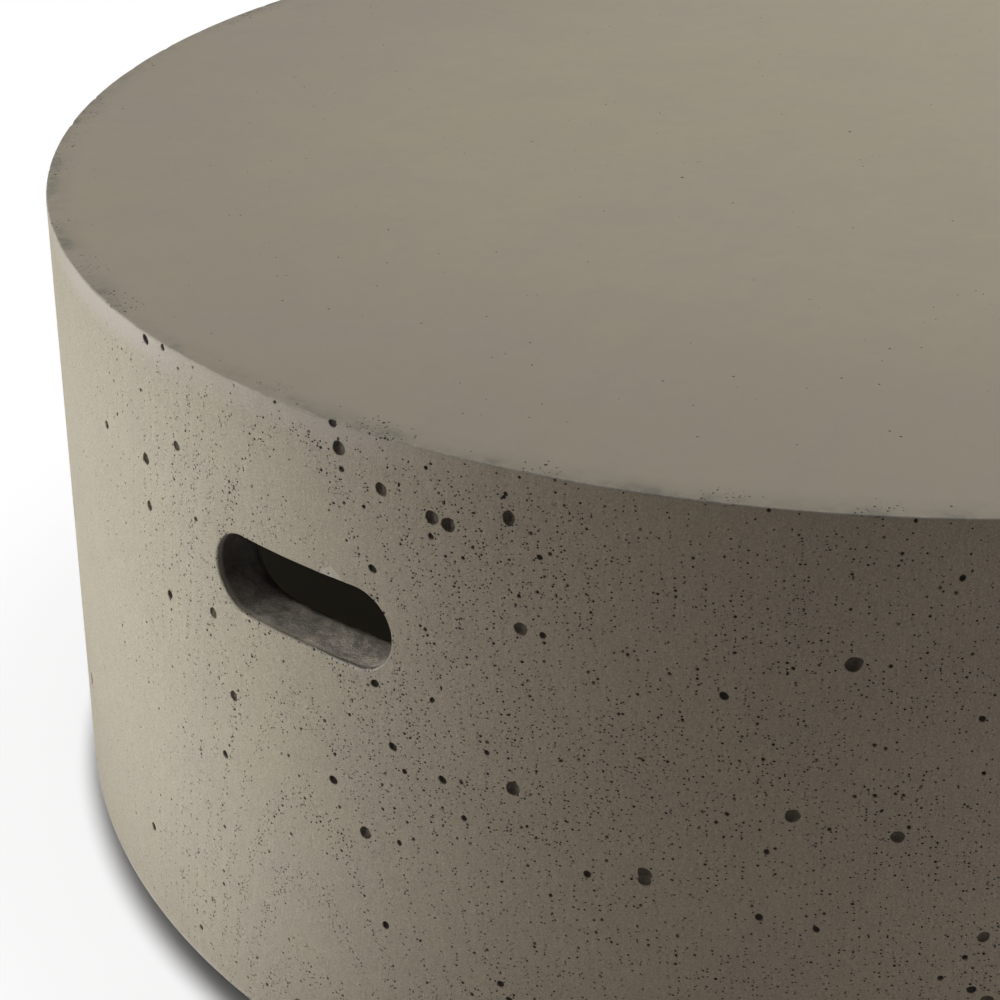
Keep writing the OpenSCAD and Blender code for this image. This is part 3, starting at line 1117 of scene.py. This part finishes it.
def stud_tree():
    """Geometry Nodes tree of a levelling stud: head, neck, spanner hexagon and cut thread."""
    tree, taken, given = new_group(
        "Levelling stud", "GeometryNodeTree",
        ("Geometry", "Angle", "Reach", "Foot", "Tip", "Seat", "Thread Radius", "Thread Depth", "Pitch",
         "Head Radius", "Head Height", "Hexagon", "Hexagon Height", "Material"), ("Geometry",))
    seat, tip, pitch = taken["Seat"], taken["Tip"], taken["Pitch"]
    bevel = 0.0012
    over = 0.001

    def moved(mesh, **change):
        return add_node(tree, "GeometryNodeTransform", {"Geometry": mesh, **change})[0]

    def bar(corners, rows, radius, low, high):
        depth = high - low
        made = add_node(
            tree, "GeometryNodeMeshCylinder",
            {"Vertices": corners, "Side Segments": rows, "Radius": radius, "Depth": depth})["Mesh"]
        return moved(made, Translation=vector_of(tree, z=maths("MULTIPLY_ADD", depth, 0.5, low)))

    spot = parts_of(add_node(tree, "GeometryNodeInputPosition")[0])
    turn = maths("ARCTAN2", spot["Y"], spot["X"]) / (2 * math.pi)
    phase = maths("FRACT", spot["Z"] / pitch - turn + 50.0)
    ridge = abs(maths("MULTIPLY_ADD", phase, 2.0, -1.0)) * taken["Thread Depth"]
    cut = ridge + maths("MAXIMUM", spot["Z"] - (tip - pitch * 0.9), 0.0)
    outward = vector_maths("NORMALIZE", vector_of(tree, spot["X"], spot["Y"]))
    rod = bar(32, 118, taken["Thread Radius"], seat, tip)
    thread = add_node(
        tree, "GeometryNodeSetPosition", {"Geometry": rod, "Offset": scaled(outward, cut * -1.0)})[0]

    hex_foot = seat - taken["Hexagon Height"]
    head_top = taken["Foot"] + taken["Head Height"]
    corner_r = taken["Hexagon"] / (2 * math.cos(math.radians(30)))
    turned_r = corner_r * 1.03
    radii = {"Radius Top": turned_r, "Radius Bottom": corner_r * 0.90}
    dome = add_node(tree, "GeometryNodeMeshCone", {"Vertices": 48, **radii, "Depth": bevel})["Mesh"]
    lower = moved(dome, Translation=vector_of(tree, z=hex_foot))
    upper = bar(48, 1, turned_r, hex_foot + bevel, seat + over)
    hexagon = add_node(
        tree, "GeometryNodeMeshBoolean",
        {"Mesh 2": [bar(6, 1, corner_r, hex_foot, seat), join(tree, [lower, upper])]},
        operation="INTERSECT", solver="MANIFOLD")["Mesh"]
    neck = bar(32, 1, taken["Thread Radius"] - taken["Thread Depth"], head_top, hex_foot)
    head = bar(64, 1, taken["Head Radius"], taken["Foot"], head_top)
    stud = moved(join(tree, [thread, hexagon, neck, head]), Translation=vector_of(tree, taken["Reach"]))
    stud = moved(stud, Rotation=vector_of(tree, z=taken["Angle"]))
    return finish_tree(tree, stud, taken, given)


class TABLE_OT_inserts(bpy.types.Operator):
    """Finishes the cast-in threaded inserts"""
    bl_idname = "table.inserts"
    bl_label = "Inserts"

    def execute(self, context):
        for foot in FEET:
            dress(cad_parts[f"insert_{foot}"].data, "zinc_plate")
        return {"FINISHED"}


class TABLE_OT_studs(bpy.types.Operator):
    """Cuts the four levelling studs"""
    bl_idname = "table.studs"
    bl_label = "Studs"

    def execute(self, context):
        settings = context.scene.table_feet
        names = FootSettings.__annotations__
        sizes = {name.replace("_", " ").title(): getattr(settings, name) for name in names}
        tree = stud_tree()
        for foot in FEET:
            low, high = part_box(f"stud_{foot}")
            stud = new_object(f"levelling_stud_{foot}", bpy.data.meshes.new("stud"))
            run_tree(stud, tree, {
                **sizes,
                "Angle": math.radians(90 * foot - 45),
                "Reach": node_middle(f"stud_{foot}").length,
                "Foot": low[2],
                "Tip": high[2],
                "Seat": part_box(f"insert_{foot}")[0][2],
                "Material": material("zinc_plate"),
            })
            smooth(stud, 30)
            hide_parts(f"stud_{foot}")
            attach(stud, f"screw_{foot}")
        return {"FINISHED"}


class TABLE_OT_glides(bpy.types.Operator):
    """Finishes the nylon glides and the rubber soles"""
    bl_idname = "table.glides"
    bl_label = "Glides and soles"

    def execute(self, context):
        for foot in FEET:
            dress(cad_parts[f"glide_{foot}"].data, "moulded_nylon")
            dress(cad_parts[f"sole_{foot}"].data, "tread_rubber")
        return {"FINISHED"}


# The studio

def aim_camera(scene, settings):
    """Camera at the photograph's viewpoint."""
    heading = math.pi / 2 + settings.azimuth + settings.yaw
    level = Vector((math.cos(heading), math.sin(heading), 0.0))
    right = Vector((math.sin(heading), -math.cos(heading), 0.0))
    forward = level * math.cos(settings.pitch) - Vector((0, 0, 1)) * math.sin(settings.pitch)
    up = right.cross(forward)
    side = right * math.cos(settings.roll) + up * math.sin(settings.roll)
    above = up * math.cos(settings.roll) - right * math.sin(settings.roll)
    place = bearing_point(scene, 0.0, settings.distance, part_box("drum")[0][2] + settings.height)
    data = bpy.data.cameras.new("camera")
    data.sensor_width = 36.0
    data.lens = settings.lens
    data.clip_start = 0.01
    camera = bpy.data.objects.new("camera", data)
    scene.collection.objects.link(camera)
    turn = Matrix((side, above, -forward)).transposed()
    camera.matrix_world = Matrix.Translation(place) @ turn.to_4x4()
    scene.camera = camera


def bearing_point(scene, bearing, reach, height):
    """Point by its bearing from the camera's side of the table, its reach from the axis and height."""
    stand = scene.table_stage.azimuth - math.pi / 2 + math.radians(bearing)
    return Vector((math.cos(stand) * reach, math.sin(stand) * reach, height))


def add_lamp(scene, name, bearing, elevation, distance, size, power, aim, spread=180.0):
    """Square area lamp that the camera doesn't see, aimed at a point."""
    data = bpy.data.lights.new(name, "AREA")
    data.shape = "SQUARE"
    data.size = size
    data.energy = power
    data.spread = math.radians(spread)
    lamp = bpy.data.objects.new(name, data)
    scene.collection.objects.link(lamp)
    lamp.visible_camera = False
    rise = math.radians(elevation)
    place = aim + bearing_point(scene, bearing, distance * math.cos(rise), distance * math.sin(rise))
    lamp.location = place
    lamp.rotation_euler = (aim - place).to_track_quat("-Z", "Y").to_euler()


def white_floor():
    """Pale floor that the camera sees as white, but for the shadow under the table and beside it; inside
    the drum's footprint it is a near-black sheet, painted shade, with a faint warm glow for the camera,
    painted light.
    """
    made, tree, shader = new_material("studio_floor")
    base_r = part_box("drum")[1][0]
    distance = vector_maths("LENGTH", object_vector(tree), out="Value")
    open_floor = distance.remap(base_r - 0.020, base_r + 0.005)
    clear = distance.remap(base_r - 0.005, base_r + 0.012, 0.009, 0.88)
    far = distance.remap(base_r, base_r + 0.18, 0.0, 0.12)
    fill(shader, {
        # Painted shade: near-black floor inside the drum's footprint
        "Base Color": blend(open_floor, (0.020, 0.018, 0.014), (0.80, 0.80, 0.80)),
        "Roughness": 0.9,
        "Specular IOR Level": 0.1,
    })
    # Painted light: a faint warm glow inside the drum's footprint, seen by the camera
    glow_colour = blend(open_floor, (1.0, 0.87, 0.62), (1.0, 1.0, 1.0))
    glow = add_node(tree, "ShaderNodeEmission", {"Color": glow_colour, "Strength": 1.0})[0]
    share = add_node(tree, "ShaderNodeLightPath")["Is Camera Ray"] * (clear + far)
    lit = Value(shader.outputs["BSDF"])
    mixed = add_node(tree, "ShaderNodeMixShader", {0: share, 1: lit, 2: glow})[0]
    fill(tree.nodes["Material Output"], {"Surface": mixed})
    return made


def light_world(scene, ambient):
    """White background for the camera and the gloss, weaker light for everything else."""
    world = bpy.data.worlds.new("studio")
    world.use_nodes = True
    scene.world = world
    path = add_node(world.node_tree, "ShaderNodeLightPath")
    seen = maths("MAXIMUM", path["Is Camera Ray"], path["Is Glossy Ray"])
    seen = maths("MAXIMUM", seen, path["Is Transmission Ray"])
    fill(world.node_tree.nodes["Background"], {
        "Color": (1.0, 1.0, 1.0),
        "Strength": seen * (1.0 - ambient) + ambient,
    })


class TABLE_OT_stage(bpy.types.Operator):
    """Sets the floor, the lamps, the background and the camera"""
    bl_idname = "table.stage"
    bl_label = "Studio"

    def execute(self, context):
        scene = context.scene
        settings = scene.table_stage
        half = 6.0
        corners = [(-half, -half, 0.0), (half, -half, 0.0), (half, half, 0.0), (-half, half, 0.0)]
        mesh = bpy.data.meshes.new("studio_floor")
        mesh.from_pydata(corners, [], [(0, 1, 2, 3)])
        mesh.materials.append(white_floor())
        new_object("studio_floor", mesh)
        middle = Vector((0.0, 0.0, 0.2))
        left_wall = bearing_point(scene, -87.5, 0.19, 0.15)
        near_floor = bearing_point(scene, 0.0, 0.4, 0.04)
        add_lamp(scene, "key", -50.7, 5.2, 0.87, 0.52, settings.key_power, left_wall, spread=40.0)
        add_lamp(scene, "side", 90.0, 10.0, 2.4, 1.2, settings.side_power, middle)
        add_lamp(scene, "back", 140.0, 25.0, 2.4, 1.2, settings.back_power, middle)
        add_lamp(scene, "overhead", 140.0, 70.0, 2.4, 1.5, settings.top_power, middle)
        add_lamp(scene, "fill", -60.0, 60.0, 2.4, 1.2, settings.fill_power, middle)
        add_lamp(scene, "low", 30.0, 4.0, 1.2, 0.25, settings.low_power, near_floor, spread=30.0)
        light_world(scene, settings.ambient)
        aim_camera(scene, settings)
        scene.view_settings.view_transform = "Standard"
        return {"FINISHED"}


# The add-on

SETTINGS = {
    "table_casting": CastingSettings,
    "table_pores": PoreSettings,
    "table_finish": FinishSettings,
    "table_feet": FootSettings,
    "table_stage": StageSettings,
}
STEPS = (TABLE_OT_casting, TABLE_OT_inserts, TABLE_OT_studs, TABLE_OT_glides, TABLE_OT_stage)


class TABLE_PT_panel(bpy.types.Panel):
    """Lists the steps that build the table"""
    bl_idname = "TABLE_PT_panel"
    bl_label = "Concrete table"
    bl_space_type = "VIEW_3D"
    bl_region_type = "UI"
    bl_category = "Table"

    def draw(self, context):
        for step in STEPS:
            self.layout.operator(step.bl_idname)
        for name, group in SETTINGS.items():
            box = self.layout.box()
            box.label(text=group.__doc__)
            for key in group.__annotations__:
                box.prop(getattr(context.scene, name), key)


def register():
    """Adds the settings, the steps and the panel."""
    for name, group in SETTINGS.items():
        bpy.utils.register_class(group)
        setattr(bpy.types.Scene, name, PointerProperty(type=group))
    for step in STEPS:
        bpy.utils.register_class(step)
    bpy.utils.register_class(TABLE_PT_panel)


def unregister():
    """Takes away what register added."""
    bpy.utils.unregister_class(TABLE_PT_panel)
    for step in reversed(STEPS):
        bpy.utils.unregister_class(step)
    for name, group in SETTINGS.items():
        delattr(bpy.types.Scene, name)
        bpy.utils.unregister_class(group)


def main():
    """Builds the table and the studio."""
    register()
    bpy.ops.table.casting()
    bpy.ops.table.inserts()
    bpy.ops.table.studs()
    bpy.ops.table.glides()
    bpy.ops.table.stage()


if __name__ == "__main__":
    main()
